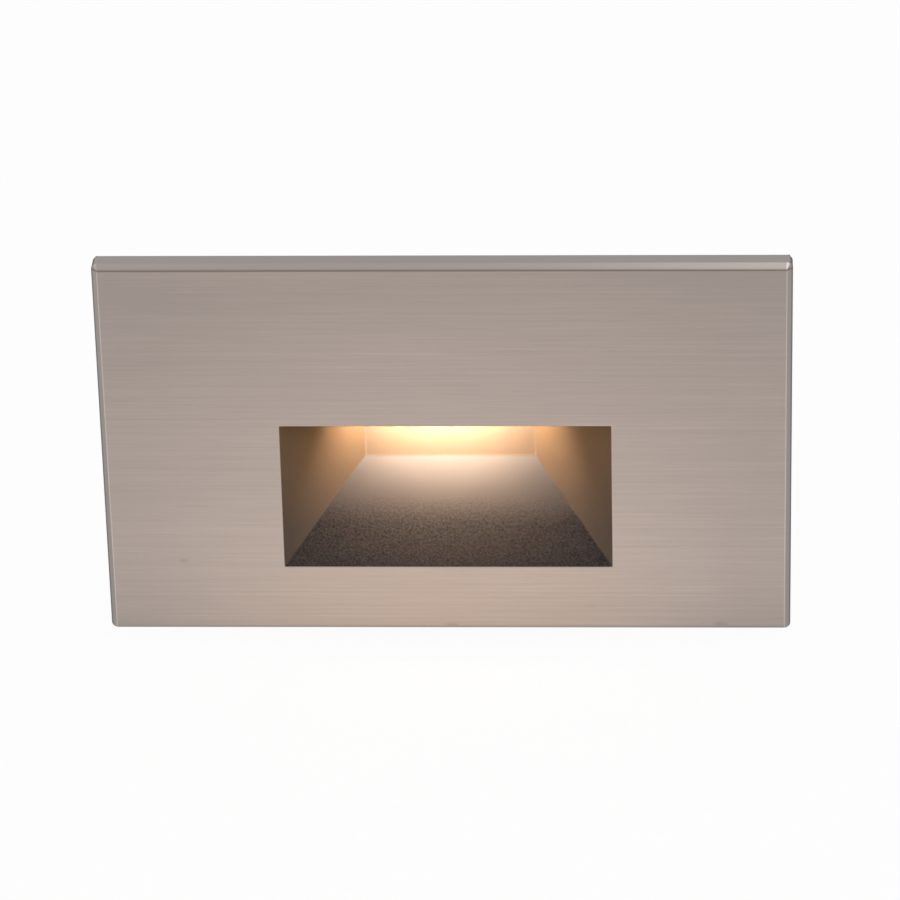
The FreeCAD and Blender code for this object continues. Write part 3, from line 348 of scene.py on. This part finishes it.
def finishPlate():
    look = plateLook
    material, tree, shader = startFinish("brushedNickel", {
        "Anisotropic": 0.6, "Anisotropic Rotation": 0.25, "Specular IOR Level": 0.15,
    })
    apart = tree.nodes.new("ShaderNodeSeparateXYZ")
    tree.links.new(place(tree), apart.inputs[0])
    x, y, z = apart.outputs
    inScoop = sums(
        tree, "MULTIPLY",
        sums(
            tree, "MULTIPLY",
            within(tree, x, -look["scoopX"], look["scoopX"], look["scoopEdge"]),
            within(tree, z, look["scoopLow"], look["scoopHigh"], look["scoopEdge"]),
        ),
        spread(tree, y, 0, 1, look["scoopFront"] - look["scoopEdge"], look["scoopFront"]),
    )

    # edges catch the light, and the scoop's are rounder
    radius, rounded = roundEdges(tree, 8)
    tree.links.new(spread(tree, inScoop, *look["edgeRadius"], 0, 1), radius)
    facing = tree.nodes.new("ShaderNodeSeparateXYZ")
    tree.links.new(rounded, facing.inputs[0])
    sideways = spread(tree, sums(tree, "ABSOLUTE", facing.outputs[0], 0), 0, 1, 0.5, 0.55)
    forward = sums(tree, "ABSOLUTE", facing.outputs[1], 0)

    # along X on the front and along Z on the left and right sides
    flat = streaksAlong(tree, (1 / 70, 1 / 70, 1), (1 / 220, 1 / 220, 1))
    upright = streaksAlong(tree, (1, 1, 1 / 70), (1, 1, 1 / 220))
    streaks = sums(
        tree, "ADD",
        sums(tree, "MULTIPLY", flat, sums(tree, "SUBTRACT", 1, sideways)),
        sums(tree, "MULTIPLY", upright, sideways),
    )
    broad = cloud(tree, place(tree, (1 / 5, 1 / 5, 1)), 14.0, 3)
    metal = blendColours(tree, spread(tree, streaks, 0, 1, 0.36, 0.64), look["streak"], look["colour"])
    metal = blendColours(tree, spread(tree, broad, 0, 0.4, 0.35, 0.7), metal, look["dull"])
    for markX, markZ, size in look["marks"]:
        aside = sums(tree, "POWER", sums(tree, "SUBTRACT", x, markX), 2)
        above = sums(tree, "POWER", sums(tree, "MULTIPLY", sums(tree, "SUBTRACT", z, markZ), 2.2), 2)
        mark = spread(tree, sums(tree, "ADD", aside, above), 0.45, 0, 0, size * size)
        metal = blendColours(tree, mark, metal, look["markColour"])
    # tones by facing: painted reflection on the rim and bevel, painted shade on the left and right sides
    # and their outer strip
    rim = blendColours(tree, sideways, look["rim"], look["side"])
    rim = blendColours(tree, spread(tree, forward, 0, 1, 0.15, 0.35), rim, look["bevelled"])
    outside = sums(tree, "ABSOLUTE", x, 0)
    rim = blendColours(tree, spread(tree, outside, 0, 1, *look["sideEdge"]), rim, look["side"])
    metal = blendColours(tree, spread(tree, forward, 0, 1, 0.8, 0.96), rim, metal)
    # where the bevel meets the front: painted highlight lines down the left and right, and a painted
    # shade line along the top
    fromSide = sums(tree, "SUBTRACT", outside, look["bevelX"])
    fromTop = sums(tree, "SUBTRACT", z, look["bevelZ"])
    sideHighlightLine = spread(tree, sums(tree, "ABSOLUTE", fromSide, 0), 0.75, 0, 0, look["bevelLine"][0])
    topShadeLine = spread(tree, sums(tree, "ABSOLUTE", fromTop, 0), 0.85, 0, 0, look["bevelLine"][1])
    sideHighlightLine = sums(tree, "MULTIPLY", sideHighlightLine, spread(tree, fromTop, 1, 0, -look["bevelLine"][1], 0))
    metal = blendColours(tree, topShadeLine, metal, look["shaded"])
    metal = blendColours(tree, sideHighlightLine, metal, look["paintedHighlight"])

    # a cast skin inside the scoop: smooth on its walls, sandy and darker on its floor; its colours also
    # grow lighter up the walls, on the back wall and towards the back of the floor, which is painted
    # light from the emitters
    upward = spread(tree, facing.outputs[2], 0, 1, 0.35, 0.6)
    high = spread(tree, z, 0, 1, *look["wallSpan"])
    wall = blendColours(tree, high, look["wallLow"], look["wallHigh"])
    wall = blendColours(tree, spread(tree, forward, 0, 1, 0.75, 0.95), wall, look["backWall"])
    deep = sums(tree, "POWER", spread(tree, y, 0, 1, *look["floorSpan"]), 1.4)
    ground = blendColours(tree, deep, look["floorFront"], look["floorBack"])
    grit = cloud(tree, place(tree), 0.42, 3, 0.8)
    calm = sums(tree, "MULTIPLY", upward, spread(tree, y, 1, 0, *look["calmSpan"]))
    sand = sums(tree, "SUBTRACT", spread(tree, grit, *look["grit"]), 1)
    sand = sums(tree, "ADD", sums(tree, "MULTIPLY", sand, calm), 1)
    cast = blendColours(tree, 1.0, blendColours(tree, upward, wall, ground), sand, "MULTIPLY")
    # the scoop's creases darkened, more towards the back: painted shade
    paintedCreaseShade = sums(tree, "MULTIPLY", findEdges(tree, rounded), spread(tree, y, 0, 0.4, -2, 6))
    cast = blendColours(tree, paintedCreaseShade, cast, look["creaseShade"])
    tree.links.new(blendColours(tree, inScoop, metal, cast), shader.inputs["Base Color"])
    tree.links.new(spread(tree, inScoop, 1, 0.1, 0, 1), shader.inputs["Metallic"])
    rough = spread(tree, streaks, *look["roughness"])
    rough = sums(tree, "ADD", rough, sums(tree, "MULTIPLY", inScoop, look["scoopRoughness"]))
    tree.links.new(rough, shader.inputs["Roughness"])
    tangent = tree.nodes.new("ShaderNodeTangent")
    tangent.direction_type = "RADIAL"
    tangent.axis = "Z"
    tree.links.new(tangent.outputs[0], shader.inputs["Tangent"])

    # brushed lines and sand in relief
    sandy = spread(tree, calm, 0.08, 0.8, 0, 1)
    sandy = sums(tree, "MULTIPLY", sums(tree, "MULTIPLY", inScoop, grit), sandy)
    height = sums(tree, "ADD", sums(tree, "MULTIPLY", streaks, 0.035), sandy)
    raiseGrain(tree, shader, height, 0.25, rounded)
    return material


# other finishes
finishes = {
    "zincSheet": {
        "colour": shade(176, 179, 181), "other": shade(150, 154, 158), "size": 2.2, "grain": 0.5,
        "bump": 0.02, "roughness": (0.3, 0.48), "sockets": {"Metallic": 1.0},
        "worn": (0.00015, shade(206, 208, 210)),
    },
    "sealingFoam": {
        "colour": shade(38, 38, 39), "other": shade(22, 22, 23), "size": 1.4, "grain": 0.35,
        "bump": 0.12, "roughness": (0.8, 0.95), "sockets": {},
    },
    "brightScrew": {
        "colour": shade(188, 187, 184), "other": shade(158, 156, 153), "size": 1.1, "grain": 0.2,
        "bump": 0.01, "roughness": (0.18, 0.34), "sockets": {"Metallic": 1.0},
    },
    "siliconeSeal": {
        "colour": shade(142, 144, 146), "other": shade(120, 122, 124), "size": 1.5, "grain": 0.3,
        "bump": 0.02, "roughness": (0.5, 0.7), "sockets": {},
    },
    "mouldedWhite": {
        "colour": shade(238, 238, 233), "other": shade(226, 226, 219), "size": 3.0, "grain": 0.3,
        "bump": 0.015, "roughness": (0.3, 0.45), "sockets": {},
    },
    "boardWhite": {
        "colour": shade(232, 233, 228), "other": shade(214, 215, 209), "size": 2.0, "grain": 0.3,
        "bump": 0.015, "roughness": (0.3, 0.5), "sockets": {},
    },
    "rolledAluminium": {
        "colour": shade(196, 198, 200), "other": shade(172, 175, 178), "size": 2.5, "grain": 0.35,
        "bump": 0.015, "roughness": (0.28, 0.45), "sockets": {"Metallic": 1.0},
    },
    "redJacket": {
        "colour": shade(158, 26, 20), "other": shade(132, 18, 14), "size": 1.0, "grain": 0.25,
        "bump": 0.01, "roughness": (0.35, 0.5), "sockets": {},
    },
    "castShell": {
        "colour": shade(150, 152, 154), "other": shade(118, 120, 123), "size": 2.2, "grain": 0.9,
        "bump": 0.12, "roughness": (0.4, 0.6), "sockets": {"Metallic": 1.0},
        "worn": (0.0005, shade(184, 186, 188)),
    },
    "glandRubber": {
        "colour": shade(36, 36, 37), "other": shade(22, 22, 23), "size": 1.6, "grain": 0.35,
        "bump": 0.03, "roughness": (0.55, 0.75), "sockets": {},
    },
    "insulatingSheet": {
        "colour": shade(210, 204, 184), "other": shade(192, 184, 160), "size": 2.4, "grain": 0.3,
        "bump": 0.01, "roughness": (0.4, 0.6), "sockets": {},
    },
    "shrunkSleeve": {
        "colour": shade(28, 31, 38), "other": shade(18, 20, 26), "size": 2.0, "grain": 0.3,
        "bump": 0.01, "roughness": (0.22, 0.38), "sockets": {},
    },
    "filmCase": {
        "colour": shade(194, 154, 34), "other": shade(168, 130, 24), "size": 2.2, "grain": 0.3,
        "bump": 0.015, "roughness": (0.28, 0.42), "sockets": {},
    },
    "mouldedEpoxy": {
        "colour": shade(36, 36, 38), "other": shade(24, 24, 26), "size": 1.5, "grain": 0.2,
        "bump": 0.03, "roughness": (0.5, 0.7), "sockets": {},
    },
    "dippedCoat": {
        "colour": shade(32, 58, 136), "other": shade(22, 42, 106), "size": 2.4, "grain": 0.6,
        "bump": 0.06, "roughness": (0.3, 0.5), "sockets": {},
    },
}


def finishGrained(name):
    look = finishes[name]
    material, tree, shader = startFinish(name, look["sockets"])
    vector = place(tree)
    grain = cloud(tree, vector, look["grain"], 3, 0.6)
    patches = cloud(tree, vector, look["size"] * 3, 3)
    both = sums(tree, "ADD", sums(tree, "MULTIPLY", grain, 0.4), sums(tree, "MULTIPLY", patches, 0.6))
    colour = blendColours(tree, spread(tree, both, 0, 1, 0.38, 0.62), look["other"], look["colour"])
    rounded = None
    if "worn" in look:
        radius, rounded = roundEdges(tree, 6)
        radius.default_value, bright = look["worn"]
        uneven = spread(tree, patches, 0.25, 1, 0.35, 0.6)
        rubbed = sums(tree, "MULTIPLY", findEdges(tree, rounded), uneven)
        colour = blendColours(tree, rubbed, colour, bright)
    tree.links.new(colour, shader.inputs["Base Color"])
    tree.links.new(spread(tree, both, *look["roughness"]), shader.inputs["Roughness"])
    raiseGrain(tree, shader, grain, look["bump"], rounded)
    return material


# the light itself
lightLook = {
    "warm": shade(255, 227, 192),
    "edge": shade(255, 190, 120),
    "glass": shade(244, 238, 224),
    "reach": (4.0, 14.5),  # the lens glows most under the emitters, and least at its ends
    "strength": 9.0,
    "power": 0.055,
    "size": (0.026, 0.0022),
    "place": (-0.0016, 0.0059, 0.0061),  # a little left of the middle
    "tilt": 64,  # from straight down towards the back of the scoop
}


def finishLens():
    # frosted glass over the emitters, which colour it where they shine through
    look = lightLook
    sockets = {"Base Color": look["glass"], "Transmission Weight": 0.6, "IOR": 1.47,
               "Emission Strength": look["strength"]}
    material, tree, shader = startFinish("frostedGlass", sockets)
    vector = place(tree)
    frost = cloud(tree, vector, 0.25, 4, 0.7)
    tree.links.new(spread(tree, frost, 0.42, 0.6), shader.inputs["Roughness"])
    apart = tree.nodes.new("ShaderNodeSeparateXYZ")
    tree.links.new(vector, apart.inputs[0])
    level = spread(tree, sums(tree, "ABSOLUTE", apart.outputs[0], 0), 1, 0.1, *look["reach"])
    tint = blendColours(tree, level, look["edge"], look["warm"])
    tree.links.new(blendColours(tree, level, (0, 0, 0, 1), tint), shader.inputs["Emission Color"])
    raiseGrain(tree, shader, frost, 0.02)
    return material


def shineLight():
    # what leaves the lens: it strikes the back of the scoop and fades down its floor
    look = lightLook
    lamp = bpy.data.lights.new("emitterLight", "AREA")
    lamp.shape = "ELLIPSE"
    lamp.size, lamp.size_y = look["size"]
    lamp.energy = look["power"]
    lamp.color = look["warm"][:3]
    holder = bpy.data.objects.new("emitterLight", lamp)
    aim = Euler((math.radians(look["tilt"]), 0, 0)).to_matrix().to_4x4()
    holder.matrix_world = Matrix.Translation(look["place"]) @ aim
    holder.visible_camera = False
    scene.collection.objects.link(holder)
    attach(holder, "light_unit")


def finishPhosphor():
    sockets = {"Emission Color": lightLook["warm"], "Emission Strength": 4.0}
    material, tree, shader = startFinish("phosphor", sockets)
    grain = cloud(tree, place(tree), 0.12, 3)
    colour = blendColours(tree, spread(tree, grain, 0, 1), shade(236, 190, 70), shade(246, 214, 108))
    tree.links.new(colour, shader.inputs["Base Color"])
    tree.links.new(spread(tree, grain, 0.4, 0.6), shader.inputs["Roughness"])
    raiseGrain(tree, shader, grain, 0.02)
    return material


def finishWinding():
    # varnished wire laid in turns round the drum
    material, tree, shader = startFinish("copperWinding", {"Metallic": 0.8, "Coat Weight": 0.5})
    wave = tree.nodes.new("ShaderNodeTexWave")
    wave.bands_direction = "Y"
    wave.inputs["Scale"].default_value = 0.55
    wave.inputs["Distortion"].default_value = 0.4
    tree.links.new(place(tree), wave.inputs["Vector"])
    turns = wave.outputs["Fac"]
    copper = blendColours(tree, turns, shade(116, 58, 24), shade(190, 108, 52))
    tree.links.new(copper, shader.inputs["Base Color"])
    tree.links.new(spread(tree, turns, 0.45, 0.25, 0, 1), shader.inputs["Roughness"])
    raiseGrain(tree, shader, turns, 0.15)
    return material


def finishLaminate():
    # solder mask over straight tracks
    material, tree, shader = startFinish("greenLaminate", {"Coat Weight": 0.3})
    vector = place(tree)
    cells = tree.nodes.new("ShaderNodeTexVoronoi")
    cells.distance = "CHEBYCHEV"
    cells.feature = "F1"
    cells.inputs["Scale"].default_value = 0.22
    tree.links.new(vector, cells.inputs["Vector"])
    tracks = spread(tree, cells.outputs["Distance"], 0, 1, 0.42, 0.46)
    weave = cloud(tree, vector, 0.3, 2)
    mask = blendColours(tree, tracks, shade(20, 74, 42), shade(32, 104, 60))
    mask = blendColours(tree, spread(tree, weave, 0, 0.3), mask, shade(14, 56, 32))
    tree.links.new(mask, shader.inputs["Base Color"])
    tree.links.new(spread(tree, weave, 0.3, 0.45), shader.inputs["Roughness"])
    raiseGrain(tree, shader, tracks, 0.04)
    return material


dressing = {
    "zincSheet": ("mounting_bracket",),
    "sealingFoam": ("wall_gasket",),
    "brightScrew": (
        "set_screw_left", "set_screw_right", "spreader_screws", "housing_screws", "driver_screws",
    ),
    "siliconeSeal": ("lens_gasket", "thermal_pad", "housing_gasket"),
    "mouldedWhite": ("light_reflector",),
    "boardWhite": ("led_board",),
    "rolledAluminium": ("heat_spreader",),
    "redJacket": ("led_leads",),
    "castShell": ("rear_housing",),
    "glandRubber": ("wire_gland",),
    "insulatingSheet": ("driver_insulator",),
    "shrunkSleeve": ("filter_capacitor",),
    "filmCase": ("film_capacitor",),
    "mouldedEpoxy": ("bridge_rectifier", "input_fuse", "driver_chip"),
    "dippedCoat": ("surge_varistor",),
}


def dress(material, *names):
    for name in names:
        held = nodes[name].data.materials
        held.clear()
        held.append(material)


made = {}
for finishName, nodeNames in dressing.items():
    made[finishName] = finishGrained(finishName)
    dress(made[finishName], *nodeNames)
dress(finishPlate(), "faceplate")
dress(finishLens(), "lens")
dress(finishPhosphor(), "led_emitters")
dress(finishWinding(), "power_inductor")
dress(finishLaminate(), "driver_board")
print("nodes dressed")

shineLight()
print("light lit")


# turned pieces: screws and the wire gland
def turnOutline(points, steps, closed=False):
    # an outline of (radius, height) in millimetres, turned round the upright axis
    sketch = bmesh.new()
    corners = [sketch.verts.new((radius / 1000, 0, height / 1000)) for radius, height in points]
    for one, other in zip(corners, corners[1:]):
        sketch.edges.new((one, other))
    if closed:
        sketch.edges.new((corners[-1], corners[0]))
    bmesh.ops.spin(
        sketch, geom=sketch.verts[:] + sketch.edges[:], axis=(0, 0, 1), cent=(0, 0, 0),
        angle=math.tau, steps=steps, use_merge=True,
    )
    bmesh.ops.remove_doubles(sketch, verts=sketch.verts, dist=1e-6)
    bmesh.ops.recalc_face_normals(sketch, faces=sketch.faces)
    return sketch


def moveSketch(sketch, turn, place):
    matrix = Matrix.Translation(place) @ turn
    bmesh.ops.transform(sketch, matrix=matrix, space=Matrix(), verts=sketch.verts)


def addSketch(whole, sketch):
    held = bpy.data.meshes.new("held")
    sketch.to_mesh(held)
    sketch.free()
    whole.from_mesh(held)
    bpy.data.meshes.remove(held)


def keepPiece(name, sketch, body, node, material):
    bmesh.ops.recalc_face_normals(sketch, faces=sketch.faces)
    mesh = bpy.data.meshes.new(name)
    sketch.to_mesh(mesh)
    sketch.free()
    mesh.shade_smooth()
    mesh.set_sharp_from_angle(angle=math.radians(32))
    mesh.materials.append(material)
    piece = bpy.data.objects.new(name, mesh)
    scene.collection.objects.link(piece)
    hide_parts(node)
    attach(piece, body)


housingScrewLook = {
    "column": (29.5, 19.3),
    "seats": {1: 24.0, -1: 44.0},  # under the head: the step's back above, the low part's back below
    "shank": 1.5,
    "head": 2.8,
    "headHeight": 2.0,
    "dome": ((0, 0.7), (0.12, 1.15), (0.5, 1.6), (1.2, 1.9)),  # in from the rim, and above the seat
    "thread": (0.55, 0.17),
    "threadEnd": 8,
    "crossWidth": 0.62,
    "crossLength": 2.9,
    "crossDepth": 1.15,
    "crossFoot": 0.72,  # how much narrower the cross is at its foot
    "brow": 1.2,
    "turns": (14, 61, 38, 83),
    "steps": 36,
}


def threadOutline(radius, low, high, pitch, depth):
    # a groove for each turn of the thread, with no lead
    points = []
    for turn in range(int((high - low) / pitch)):
        foot = low + turn * pitch
        points += [(radius - depth, foot), (radius, foot + pitch * 0.4), (radius, foot + pitch * 0.6)]
    return points


def cutCross(sketch, look, brow):
    # a cross sunk in the crown of the head, which is what lies above the brow
    wide, long = look["crossWidth"] / 2000, look["crossLength"] / 2000
    for across in (Vector((1, 0, 0)), Vector((0, 1, 0))):
        for level in (-long, -wide, wide, long):
            crown = [face for face in sketch.faces if face.calc_center_median().z > brow]
            parts = dict.fromkeys(crown)  # each part once
            for face in crown:
                parts.update(dict.fromkeys([*face.edges, *face.verts]))
            bmesh.ops.bisect_plane(
                sketch, geom=list(parts), dist=1e-7, plane_co=across * level, plane_no=across
            )
    sunk = []
    for face in sketch.faces:
        middle = face.calc_center_median()
        x, y = abs(middle.x), abs(middle.y)
        if middle.z > brow and max(x, y) < long and min(x, y) < wide:
            sunk.append(face)
    lower = bmesh.ops.extrude_face_region(sketch, geom=sunk)["geom"]
    lower = [item for item in lower if isinstance(item, bmesh.types.BMVert)]
    bmesh.ops.translate(sketch, vec=(0, 0, -look["crossDepth"] / 1000), verts=lower)
    bmesh.ops.scale(sketch, vec=(look["crossFoot"], look["crossFoot"], 1), verts=lower)
    bmesh.ops.delete(sketch, geom=sunk, context="FACES")


def makeHousingScrews():
    look = housingScrewLook
    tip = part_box("housing_screws")[0][1] * 1000
    whole = bmesh.new()
    spots = [(side, level) for level in (1, -1) for side in (-1, 1)]
    for (side, level), turn in zip(spots, look["turns"]):
        seat = look["seats"][level]
        shank, head, threadEnd = look["shank"], look["head"], tip + look["threadEnd"]
        outline = [(0, tip), (shank - 0.45, tip)]
        outline += threadOutline(shank, tip + 0.4, threadEnd, *look["thread"])
        outline += [(shank, threadEnd + 0.3), (shank, seat), (head, seat)]
        outline += [(head - inward, seat + rise) for inward, rise in look["dome"]]
        outline += [(0, seat + look["headHeight"])]
        sketch = turnOutline(outline, look["steps"])
        cutCross(sketch, look, (seat + look["brow"]) / 1000)
        stand = Matrix.Rotation(math.radians(-90), 4, "X") @ Matrix.Rotation(math.radians(turn), 4, "Z")
        x, z = look["column"]
        moveSketch(sketch, stand, (side * x / 1000, 0, level * z / 1000))
        addSketch(whole, sketch)
    keepPiece("housingScrews", whole, "light_unit", "housing_screws", made["brightScrew"])


setScrewLook = {
    "radius": 1.25,
    "thread": (0.5, 0.14),
    "socket": 0.75,
    "socketDepth": 1.5,
    "steps": 24,
}


def makeSetScrew(name, node, body):
    look = setScrewLook
    low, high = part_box(node)
    foot, tip, radius = low[2] * 1000, high[2] * 1000, look["radius"]
    outline = [(0, tip), (radius - 0.35, tip), (radius - 0.14, tip - 0.25)]
    outline += reversed(threadOutline(radius, foot + 0.3, tip - 0.3, *look["thread"]))
    outline += [(radius - 0.2, foot)]
    sketch = turnOutline(outline, look["steps"])
    rim = [edge for edge in sketch.edges if edge.is_boundary]
    stand = Matrix.Translation((0, 0, foot / 1000))
    ring = bmesh.ops.create_circle(sketch, segments=6, radius=look["socket"] / 1000, matrix=stand)
    ring = ring["verts"]
    hexagon = list(dict.fromkeys(edge for vert in ring for edge in vert.link_edges))
    bmesh.ops.bridge_loops(sketch, edges=rim + hexagon)
    deep = bmesh.ops.extrude_edge_only(sketch, edges=hexagon)["geom"]
    inner = [item for item in deep if isinstance(item, bmesh.types.BMVert)]
    bmesh.ops.translate(sketch, vec=(0, 0, look["socketDepth"] / 1000), verts=inner)
    bmesh.ops.contextual_create(sketch, geom=inner)
    middle = ((low[0] + high[0]) / 2, (low[1] + high[1]) / 2, 0)
    moveSketch(sketch, Matrix(), middle)
    keepPiece(name, sketch, body, node, made["brightScrew"])


glandLook = {
    "place": (16.0, -10.0),
    "steps": 64,
    # radius, and depth behind the wall: the lip inside, the ringed flange outside, lips in the bore
    "outline": (
        (3.0, 40.4), (5.1, 40.4), (5.6, 40.6), (6.2, 41.6), (6.2, 42.0), (4.95, 42.0), (4.95, 44.0),
        (7.0, 44.0), (7.0, 44.8), (6.85, 45.1), (6.5, 45.25), (6.1, 45.2), (5.85, 44.95), (5.55, 44.95),
        (5.35, 45.25), (5.0, 45.5), (4.6, 45.5), (4.4, 45.25), (4.15, 45.25), (3.95, 45.55), (3.7, 45.78),
        (3.4, 45.8), (3.1, 45.7), (3.0, 45.4), (3.0, 44.6), (3.3, 44.4), (3.3, 43.9), (3.0, 43.7),
        (3.0, 42.9), (3.3, 42.7), (3.3, 42.2), (3.0, 42.0),
    ),
}


def makeGland():
    look = glandLook
    sketch = turnOutline(look["outline"], look["steps"], True)
    x, z = look["place"]
    moveSketch(sketch, Matrix.Rotation(math.radians(-90), 4, "X"), (x / 1000, 0, z / 1000))
    keepPiece("wireGland", sketch, "light_unit", "wire_gland", made["glandRubber"])


makeHousingScrews()
makeSetScrew("setScrewLeft", "set_screw_left", "left_screw")
makeSetScrew("setScrewRight", "set_screw_right", "right_screw")
makeGland()
print("screws and gland made")

bpy.context.view_layer.update()
